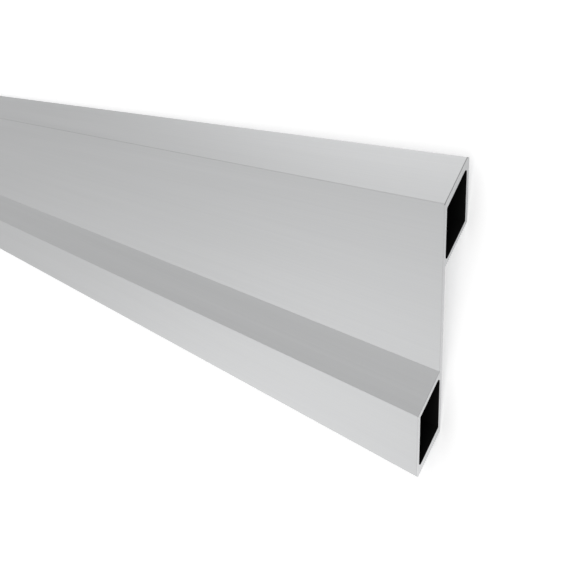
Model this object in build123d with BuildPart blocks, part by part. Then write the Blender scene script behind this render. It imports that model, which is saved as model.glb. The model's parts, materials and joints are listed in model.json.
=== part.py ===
# Z-shaped aluminium louvre extrusion: one bar of constant section.
# A flat web joins two hollow rims that stand off opposite sides of it.
# Each rim is a leaning box: two of its faces are parallel to the web and two slope.
# Half a turn about the bar's long axis maps the section onto itself.
# The bar lies on its back: X runs along it, Y across it and Z up from the floor.

import math
import os

from build123d import *

# Driving dimensions, in millimetres and degrees
bar_length = 2000.0
overall_height = 200.0  # along the web, over the rounded tips of both rims
rim_depth = 17.2  # across a rim, between its two faces that are parallel to the web
rim_side_height = 41.5  # of a rim's free side, up to where its tip would be sharp
slope_angle = 60.0  # of a rim's sloping faces, from square across the web
wall = 1.5  # of the web, and of every rim wall but the tip wall
tip_wall = 2.5  # of a rim's outermost sloping wall
tip_radius = 0.7  # of a rim's acute outer edge
edge_radius = 0.25  # of the other outside edges and of the roots where a rim leaves the web
chamber_radius = 0.8  # of the inside corners of the hollow rims

# Section: x runs along the web and y towards the front, from the point of symmetry
slope = math.tan(math.radians(slope_angle))
tip_half_angle = math.radians(90 - slope_angle) / 2
web_face_y = wall / 2
rim_face_y = web_face_y - rim_depth
tip_x = overall_height / 2 + tip_radius / math.tan(tip_half_angle) - tip_radius
shoulder_x = tip_x - slope * rim_depth
side_foot_x = tip_x - rim_side_height
root_x = side_foot_x - slope * (rim_depth - wall)

half_outline = [
    (shoulder_x, web_face_y),
    (tip_x, rim_face_y),
    (side_foot_x, rim_face_y),
    (root_x, -web_face_y),
]
turned_half_outline = [(-x, -y) for x, y in half_outline]

# Chamber of one rim: walls parallel to the web at near_y and far_y, sloping walls between
near_y = web_face_y - wall
far_y = rim_face_y + wall
slant = 1 / math.cos(math.radians(slope_angle))
tip_wall_start_x = shoulder_x - slant * tip_wall
inner_wall_start_x = side_foot_x - slope * rim_depth + slant * wall

chamber_outline = [
    (tip_wall_start_x + slope * (web_face_y - near_y), near_y),
    (tip_wall_start_x + slope * (web_face_y - far_y), far_y),
    (inner_wall_start_x + slope * (web_face_y - far_y), far_y),
    (inner_wall_start_x + slope * (web_face_y - near_y), near_y),
]

# Lying pose: the floor touches one rim's side foot and the other rim's shoulder.
# Both corners have the same angle and rounding, so the floor is parallel to the line between them.
lean = math.atan2(-web_face_y - rim_face_y, side_foot_x + shoulder_x)
foot_half_angle = math.radians(90 + slope_angle) / 2
foot_arc_x = side_foot_x + edge_radius / math.tan(foot_half_angle)
foot_arc_y = rim_face_y + edge_radius
middle_height = edge_radius - foot_arc_x * math.sin(lean) - foot_arc_y * math.cos(lean)

section_plane = Plane(
    origin=(-bar_length / 2, 0, middle_height),
    x_dir=(0, math.cos(lean), math.sin(lean)),
    z_dir=(1, 0, 0),
)

# Hollow of one rim, with its corners rounded as the die leaves them
with BuildSketch() as chamber:
    with BuildLine():
        Polyline(*chamber_outline, close=True)
    make_face()
    fillet(chamber.vertices(), radius=chamber_radius)

# The bar: outline, less a chamber in each rim, drawn out to its length
with BuildPart() as z_profile:
    with BuildSketch(section_plane) as section:
        with BuildLine():
            Polyline(*half_outline, *turned_half_outline, close=True)
        make_face()
        fillet(section.vertices().sort_by(Axis.X)[1:-1], radius=edge_radius)
        corners = section.vertices().sort_by(Axis.X)
        fillet([corners[0], corners[-1]], radius=tip_radius)
        with PolarLocations(0, 2):
            add(chamber.sketch, mode=Mode.SUBTRACT)
    extrude(amount=bar_length)

z_profile.part.label = "z_profile"
os.makedirs("parts", exist_ok=True)
export_step(z_profile.part, "parts/z_profile.step")
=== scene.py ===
import json
import math

import bpy
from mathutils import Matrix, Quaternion, Vector


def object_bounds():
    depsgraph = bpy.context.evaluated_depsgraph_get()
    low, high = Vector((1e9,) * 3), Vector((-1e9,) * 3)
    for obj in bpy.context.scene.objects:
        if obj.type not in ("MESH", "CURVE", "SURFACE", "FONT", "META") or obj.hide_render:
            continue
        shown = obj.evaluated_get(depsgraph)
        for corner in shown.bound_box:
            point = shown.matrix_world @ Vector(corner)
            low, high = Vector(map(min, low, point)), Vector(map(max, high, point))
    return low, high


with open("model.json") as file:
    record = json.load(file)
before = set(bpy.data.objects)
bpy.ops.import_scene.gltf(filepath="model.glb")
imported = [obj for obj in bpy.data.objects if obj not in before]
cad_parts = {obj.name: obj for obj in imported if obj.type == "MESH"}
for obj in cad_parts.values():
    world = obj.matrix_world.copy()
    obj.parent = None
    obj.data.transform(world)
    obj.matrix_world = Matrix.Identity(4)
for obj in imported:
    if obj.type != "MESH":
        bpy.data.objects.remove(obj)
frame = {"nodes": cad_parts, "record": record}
cadLow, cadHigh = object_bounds()
bar = frame["nodes"]["z_profile"]
barSize = cadHigh - cadLow
mm = 1000.0  # in a metre: the bar's finish is laid out in millimetres
print("frame loaded, bar box in mm:", [round(side * mm, 1) for side in barSize])


# What goes into a socket is either a value to set or another socket to link
def feed(tree, source, socket):
    if isinstance(source, bpy.types.NodeSocket):
        tree.links.new(source, socket)
    else:
        socket.default_value = source


def addNode(tree, kind, sources, **settings):
    node = tree.nodes.new("ShaderNode" + kind)
    for name, value in settings.items():
        setattr(node, name, value)
    for socket, source in sources.items():  # by the socket's label or its number
        feed(tree, source, node.inputs[socket])
    return node.outputs


def mathStep(tree, operation, *sources, clamp=False):
    return addNode(tree, "Math", dict(enumerate(sources)), operation=operation, use_clamp=clamp)[0]


def vectorStep(tree, operation, *sources):
    return addNode(tree, "VectorMath", dict(enumerate(sources)), operation=operation)


# A Mix node has sockets of its own for each kind of data, so they go by number
def mixValues(tree, factor, first, second):
    return addNode(tree, "Mix", {0: factor, 2: first, 3: second}, data_type="FLOAT")[0]


def mixColours(tree, factor, first, second):
    return addNode(tree, "Mix", {0: factor, 6: first, 7: second}, data_type="RGBA")[2]


def rampDown(tree, value, start, end):  # 1 up to start, easing to 0 at end
    limits = {"Value": value, "From Min": start, "From Max": end, "To Min": 1.0, "To Max": 0.0}
    return addNode(tree, "MapRange", limits, interpolation_type="SMOOTHSTEP")["Result"]


def stretchedNoise(tree, place, perMetre, detail):
    scale = addNode(tree, "CombineXYZ", dict(enumerate(perMetre)))[0]
    stretched = vectorStep(tree, "MULTIPLY", place, scale)["Vector"]
    return addNode(tree, "TexNoise", {"Vector": stretched, "Scale": 1.0, "Detail": detail})["Fac"]


def newGroup(name, vectors, values, outputs):
    tree = bpy.data.node_groups.new(name, "ShaderNodeTree")
    sockets = [(label, "INPUT", "NodeSocketVector") for label in vectors]
    sockets += [(label, "INPUT", "NodeSocketFloat") for label in values]
    sockets += [(label, "OUTPUT", "NodeSocketFloat") for label in outputs]
    for label, side, kind in sockets:
        tree.interface.new_socket(name=label, in_out=side, socket_type=kind)
    return tree, tree.nodes.new("NodeGroupInput").outputs, tree.nodes.new("NodeGroupOutput").inputs


def placeGroup(tree, group, sources):
    return addNode(tree, "Group", sources, node_tree=group, label=group.name)


def newMaterial(name):
    material = bpy.data.materials.new(name)
    material.use_nodes = True
    material.node_tree.nodes.clear()
    return material, material.node_tree


def addObject(name, data):
    thing = bpy.data.objects.new(name, data)
    bpy.context.scene.collection.objects.link(thing)
    return thing


# Where a point is on the section, in mm: half a turn of the bar folds both rims onto one
def makeSectionPlace():
    tree, given, result = newGroup(
        "sectionPlace",
        vectors=("Object", "Middle"),
        values=("Lean", "Slope", "Half Length", "Cut Skin"),
        outputs=("Across", "Depth", "Slant", "From End", "On Cut"),
    )
    offset = vectorStep(tree, "SUBTRACT", given["Object"], given["Middle"])["Vector"]
    scaled = vectorStep(tree, "MULTIPLY", offset, (mm, mm, mm))["Vector"]
    turn = {"Vector": scaled, "Angle": given["Lean"]}
    level = addNode(tree, "VectorRotate", turn, rotation_type="X_AXIS", invert=True)["Vector"]
    axes = addNode(tree, "SeparateXYZ", {0: level})
    across = mathStep(tree, "ABSOLUTE", axes["Y"])
    depth = mathStep(tree, "MULTIPLY", axes["Z"], mathStep(tree, "SIGN", axes["Y"]))
    fromEnd = mathStep(tree, "SUBTRACT", given["Half Length"], mathStep(tree, "ABSOLUTE", axes["X"]))
    feed(tree, across, result["Across"])
    feed(tree, depth, result["Depth"])
    feed(tree, mathStep(tree, "MULTIPLY_ADD", depth, given["Slope"], across), result["Slant"])
    feed(tree, fromEnd, result["From End"])
    feed(tree, mathStep(tree, "LESS_THAN", fromEnd, given["Cut Skin"]), result["On Cut"])
    return tree


# Mask of the hollow rims' inner walls, easing in from the mouth: where the material paints the chambers'
# shade as near-black colour
def makeChamberShadeMask():
    tree, given, result = newGroup(
        "chamberMask",
        vectors=(),
        values=("Depth", "Slant", "From End", "Middle Depth", "Half Depth", "Middle Slant", "Half Slant",
                "Mouth"),
        outputs=("Inside",),
    )
    inDepth = mathStep(tree, "COMPARE", given["Depth"], given["Middle Depth"], given["Half Depth"])
    inSlant = mathStep(tree, "COMPARE", given["Slant"], given["Middle Slant"], given["Half Slant"])
    pastMouth = mathStep(tree, "SUBTRACT", 1.0, rampDown(tree, given["From End"], 0.0, given["Mouth"]))
    within = mathStep(tree, "MULTIPLY", inDepth, inSlant)
    feed(tree, mathStep(tree, "MULTIPLY", within, pastMouth), result["Inside"])
    return tree


# Dark hairlines along the shoulders and beside the cut, strongest on the sloping outer faces
def makeEdgeLines():
    tree, given, result = newGroup(
        "edgeLines",
        vectors=("Shoulder",),
        values=("Across", "Depth", "Slant", "From End", "On Cut", "Outer Slant", "Edge Width", "Edge Shade",
                "Cut Core", "Cut Width", "Cut Shade", "Outer Cut Shade"),
        outputs=("Shade",),
    )
    here = addNode(tree, "CombineXYZ", {"X": given["Across"], "Y": given["Depth"]})[0]
    gap = vectorStep(tree, "DISTANCE", here, given["Shoulder"])["Value"]
    edge = mathStep(tree, "MULTIPLY", rampDown(tree, gap, 0.0, given["Edge Width"]), given["Edge Shade"])
    outer = mathStep(tree, "GREATER_THAN", given["Slant"], given["Outer Slant"])
    cutShade = mixValues(tree, outer, given["Cut Shade"], given["Outer Cut Shade"])
    besideCut = rampDown(tree, given["From End"], given["Cut Core"], given["Cut Width"])
    onSkin = mathStep(tree, "SUBTRACT", 1.0, given["On Cut"])
    cut = mathStep(tree, "MULTIPLY", mathStep(tree, "MULTIPLY", besideCut, onSkin), cutShade)
    feed(tree, mathStep(tree, "MAXIMUM", cut, edge), result["Shade"])
    return tree


# Streaks that the die draws along the bar: fine lines over broad bands
def makeDieLines():
    tree, given, result = newGroup(
        "dieLines",
        vectors=("Object",),
        values=("Run", "Line Pitch", "Line Detail", "Band Pitch", "Band Detail", "Line Share"),
        outputs=("Streak",),
    )
    along = mathStep(tree, "DIVIDE", mm, given["Run"])
    streaks = {}
    for kind in ("Line", "Band"):
        cross = mathStep(tree, "DIVIDE", mm, given[kind + " Pitch"])
        streaks[kind] = stretchedNoise(tree, given["Object"], (along, cross, cross), given[kind + " Detail"])
    feed(tree, mixValues(tree, given["Line Share"], streaks["Band"], streaks["Line"]), result["Streak"])
    return tree


# Marks of the saw blade on a cut end: fine scratches, over painted light that makes the cut brighter towards
# -Y and darker towards +Y
def makeSawnEnd():
    tree, given, result = newGroup(
        "sawnEnd",
        vectors=("Object",),
        values=("Half Width", "Blade Turn", "Scratch Pitch", "Scratch Run", "Scratch Detail", "Middle",
                "Contrast", "Painted Light Slope"),
        outputs=("Scratches And Painted Light",),
    )
    turn = {"Vector": given["Object"], "Angle": given["Blade Turn"]}
    turned = addNode(tree, "VectorRotate", turn, rotation_type="X_AXIS")["Vector"]
    axes = addNode(tree, "SeparateXYZ", {0: turned})
    face = addNode(tree, "CombineXYZ", {"X": axes["Y"], "Y": axes["Z"]})[0]
    cross = mathStep(tree, "DIVIDE", mm, given["Scratch Pitch"])
    along = mathStep(tree, "DIVIDE", mm, given["Scratch Run"])
    scratch = stretchedNoise(tree, face, (cross, along, 0.0), given["Scratch Detail"])
    # painted light: the cut's level rises steadily from the +Y side to the -Y side
    side = addNode(tree, "SeparateXYZ", {0: given["Object"]})["Y"]
    paintedLightAcross = mathStep(tree, "DIVIDE", mathStep(tree, "MULTIPLY", side, -mm), given["Half Width"])
    level = mathStep(tree, "MULTIPLY_ADD", paintedLightAcross, given["Painted Light Slope"], given["Middle"])
    offMiddle = mathStep(tree, "SUBTRACT", scratch, given["Middle"])
    scratchesAndPaintedLight = mathStep(tree, "MULTIPLY_ADD", offMiddle, given["Contrast"], level, clamp=True)
    feed(tree, scratchesAndPaintedLight, result["Scratches And Painted Light"])
    return tree


sectionSizes = {  # millimetres and degrees, as in the part
    "overallHeight": 200.0,
    "rimDepth": 17.2,
    "rimSideHeight": 41.5,
    "slopeAngle": 60.0,
    "wall": 1.5,
    "tipWall": 2.5,
    "tipRadius": 0.7,
    "lineInset": 0.25,  # the shoulder's hairline lies this far down the slope
    "margin": 0.3,  # a face is told from its neighbours this far into the metal
}

satinAluminium = {  # lengths in millimetres
    "dull": (0.530, 0.535, 0.540, 1.0),
    "bright": (0.640, 0.645, 0.650, 1.0),  # the die's streaks run from dull to this
    "freshCut": (0.740, 0.745, 0.750, 1.0),  # and the blade's marks from dull to this
    "line": (0.0, 0.0, 0.0, 1.0),
    # painted shade: the chambers' inner walls take this near-black colour in place of the shade deep in the
    # hollows
    "chamber": (0.030, 0.030, 0.030, 1.0),
    "roughness": 0.42,
    "streakRoughness": 0.04,  # the streaks take the roughness this far either way
    "sawnRoughness": 0.10,  # added on the cut
    "chamberRoughness": 0.30,  # added inside the rims
    "reliefStrength": 0.4,
    "reliefDepth": 0.02,
    "cutSkin": 0.01,  # what is nearer the end than this is the cut itself
    "chamberMask": {"Mouth": 0.2},
    "edgeLines": {
        "Edge Width": 0.55, "Edge Shade": 0.22,
        "Cut Core": 0.48, "Cut Width": 1.2, "Cut Shade": 0.09, "Outer Cut Shade": 0.6,
    },
    "dieLines": {
        "Run": 500.0, "Line Pitch": 0.5, "Line Detail": 4.0, "Band Pitch": 9.0, "Band Detail": 2.0,
        "Line Share": 0.6,
    },
    "sawnEnd": {
        "Blade Turn": 1.1,  # radians
        "Scratch Pitch": 0.3, "Scratch Run": 16.7, "Scratch Detail": 3.0,
        "Middle": 0.5,  # of the scratches' range
        # the last value is painted light: how much brighter the cut gets towards -Y
        "Contrast": 0.9, "Painted Light Slope": 0.4,
    },
}


# The section's lines, in the millimetres of sectionPlace; slant is across + slope * depth
def sectionLines(sizes):
    angle = math.radians(sizes["slopeAngle"])
    slope = math.tan(angle)
    perThickness = 1 / math.cos(angle)  # slant for each millimetre square to a sloping wall
    tipHalfAngle = (math.radians(90) - angle) / 2
    webFace = sizes["wall"] / 2
    rimFace = webFace - sizes["rimDepth"]
    tip = sizes["overallHeight"] / 2 + sizes["tipRadius"] / math.tan(tipHalfAngle) - sizes["tipRadius"]
    shoulder = tip - slope * sizes["rimDepth"]
    foot = tip - sizes["rimSideHeight"]
    outerSlant = shoulder + slope * webFace
    tipWallSlant = outerSlant - perThickness * sizes["tipWall"]
    innerWallSlant = foot + slope * rimFace + perThickness * sizes["wall"]
    inset = sizes["lineInset"]
    slantMargin = perThickness * sizes["margin"]
    return {
        "sectionPlace": {"Slope": slope},
        "chamberMask": {
            "Middle Depth": (webFace + rimFace) / 2,
            "Half Depth": sizes["rimDepth"] / 2 - sizes["wall"] + sizes["margin"],
            "Middle Slant": (tipWallSlant + innerWallSlant) / 2,
            "Half Slant": (tipWallSlant - innerWallSlant) / 2 + slantMargin,
        },
        "edgeLines": {
            "Shoulder": (shoulder + inset * math.sin(angle), webFace - inset * math.cos(angle), 0.0),
            "Outer Slant": outerSlant - slantMargin,
        },
    }


def makeSatinAluminium(look, lines):
    material, tree = newMaterial("satinAluminium")
    where = addNode(tree, "TexCoord", {})["Object"]
    webFront = next(mount for mount in frame["record"]["mounts"] if mount["name"] == "web_front")
    place = placeGroup(tree, makeSectionPlace(), {
        "Object": where,
        "Middle": (cadLow + cadHigh) / 2,
        "Lean": math.atan2(-webFront["axis"][1], webFront["axis"][2]),
        "Half Length": barSize.x / 2 * mm,
        "Cut Skin": look["cutSkin"],
        **lines["sectionPlace"],
    })
    onCut = place["On Cut"]
    inside = placeGroup(tree, makeChamberShadeMask(), {
        "Depth": place["Depth"], "Slant": place["Slant"], "From End": place["From End"],
        **lines["chamberMask"], **look["chamberMask"],
    })["Inside"]
    shade = placeGroup(tree, makeEdgeLines(), {
        "Across": place["Across"], "Depth": place["Depth"], "Slant": place["Slant"],
        "From End": place["From End"], "On Cut": onCut,
        **lines["edgeLines"], **look["edgeLines"],
    })["Shade"]
    streak = placeGroup(tree, makeDieLines(), {"Object": where, **look["dieLines"]})["Streak"]
    scratchesAndPaintedLight = placeGroup(tree, makeSawnEnd(), {
        "Object": where, "Half Width": barSize.y / 2 * mm, **look["sawnEnd"],
    })["Scratches And Painted Light"]

    # Streaks on the long faces, and blade marks with a painted light gradient on the cut, then the
    # hairlines, then the chambers' painted shade
    pattern = mixValues(tree, onCut, streak, scratchesAndPaintedLight)
    brightest = mixColours(tree, onCut, look["bright"], look["freshCut"])
    tone = mixColours(tree, pattern, look["dull"], brightest)
    lined = mixColours(tree, shade, tone, look["line"])
    # painted shade: inside the chambers the colour goes near black
    colour = mixColours(tree, inside, lined, look["chamber"])

    smoothest = look["roughness"] - look["streakRoughness"]
    rough = mathStep(tree, "MULTIPLY_ADD", pattern, 2 * look["streakRoughness"], smoothest)
    rough = mathStep(tree, "MULTIPLY_ADD", onCut, look["sawnRoughness"], rough)
    rough = mathStep(tree, "MULTIPLY_ADD", inside, look["chamberRoughness"], rough, clamp=True)
    relief = addNode(tree, "Bump", {
        "Height": pattern, "Strength": look["reliefStrength"], "Distance": look["reliefDepth"] / mm,
    })["Normal"]
    surface = addNode(tree, "BsdfPrincipled", {
        "Base Color": colour, "Roughness": rough, "Metallic": 1.0, "Normal": relief,
    })["BSDF"]
    addNode(tree, "OutputMaterial", {"Surface": surface})
    return material


barMaterial = makeSatinAluminium(satinAluminium, sectionLines(sectionSizes))
for slot in bar.material_slots:
    slot.material = barMaterial
print("bar finished in", barMaterial.name)

floorLook = {
    "size": 400.0,
    "colour": (0.86, 0.86, 0.86, 1.0),
    "lift": 0.42,  # added for what the camera and reflections see, so open floor is white
}


def makeFloor(look):
    reach = look["size"] / 2
    corners = [(-reach, -reach, 0.0), (reach, -reach, 0.0), (reach, reach, 0.0), (-reach, reach, 0.0)]
    mesh = bpy.data.meshes.new("studioFloor")
    mesh.from_pydata(corners, [], [(0, 1, 2, 3)])
    floor = addObject("studioFloor", mesh)
    material, tree = newMaterial("paleFloor")
    rays = addNode(tree, "LightPath", {})
    mirrored = mathStep(tree, "MAXIMUM", rays["Is Glossy Ray"], rays["Is Transmission Ray"])
    seen = mathStep(tree, "MAXIMUM", rays["Is Camera Ray"], mirrored)
    paint = addNode(tree, "BsdfDiffuse", {"Color": look["colour"]})[0]
    glow = addNode(tree, "Emission", {"Strength": mathStep(tree, "MULTIPLY", seen, look["lift"])})[0]
    both = addNode(tree, "AddShader", {0: paint, 1: glow})[0]
    addNode(tree, "OutputMaterial", {"Surface": both})
    mesh.materials.append(material)


makeFloor(floorLook)
print("floor laid")


def turnTowards(place, aim):
    return (Vector(aim) - Vector(place)).to_track_quat("-Z", "Y")


studio = {
    "worldColour": (1.0, 1.0, 1.0, 1.0),
    "worldStrength": 0.635,
    "aim": (0.6, 0.0, 0.0),
    "softboxes": {  # place and size in metres, watts: large and weak, so no side of the bar glares
        "upperSide": ((-1.045, 1.827, 0.846), (2.0, 1.4), 10.3),
        "lowerSide": ((-1.038, -1.638, 1.180), (2.2, 1.8), 6.9),
        "farEnd": ((-1.641, -1.045, 1.315), (1.6, 1.4), 1.6),
        "overFar": ((-1.300, -0.404, 1.876), (2.0, 1.6), 1.2),
        "nearEnd": ((2.266, -1.666, 1.099), (2.4, 1.8), 12.2),
    },
}


def lightStudio(setup):
    world = bpy.data.worlds.new("studioWorld")
    world.use_nodes = True
    background = world.node_tree.nodes["Background"]
    background.inputs["Color"].default_value = setup["worldColour"]
    background.inputs["Strength"].default_value = setup["worldStrength"]
    bpy.context.scene.world = world
    for name, (place, size, watts) in setup["softboxes"].items():
        lamp = bpy.data.lights.new(name, "AREA")
        lamp.shape = "RECTANGLE"
        lamp.size, lamp.size_y = size
        lamp.energy = watts
        holder = addObject(name, lamp)
        holder.location = place
        holder.rotation_euler = turnTowards(place, setup["aim"]).to_euler()
        holder.visible_camera = False  # the panels themselves stay out of every picture


lightStudio(studio)
print("lamps set:", ", ".join(studio["softboxes"]))

viewpoint = {  # the photograph's view, in the bar's own frame
    "place": (1.548591, 0.113401, 0.446585),
    "aim": (0.785463, -0.015572, 0.0),  # where the middle of the picture meets the floor
    "roll": -88.7434,  # degrees: the bar stands on edge in the picture
    "lens": 72.0949,
    "sensor": 36.0,
    "clip": (0.01, 500.0),
}


def makeCamera(view):
    camera = addObject("photoCamera", bpy.data.cameras.new("photoCamera"))
    camera.data.sensor_width = view["sensor"]
    camera.data.lens = view["lens"]
    camera.data.clip_start, camera.data.clip_end = view["clip"]
    camera.location = view["place"]
    roll = Quaternion((0.0, 0.0, 1.0), math.radians(view["roll"]))
    camera.rotation_euler = (turnTowards(view["place"], view["aim"]) @ roll).to_euler()
    bpy.context.scene.camera = camera


makeCamera(viewpoint)
bpy.context.scene.view_settings.view_transform = "Standard"
print("camera set")
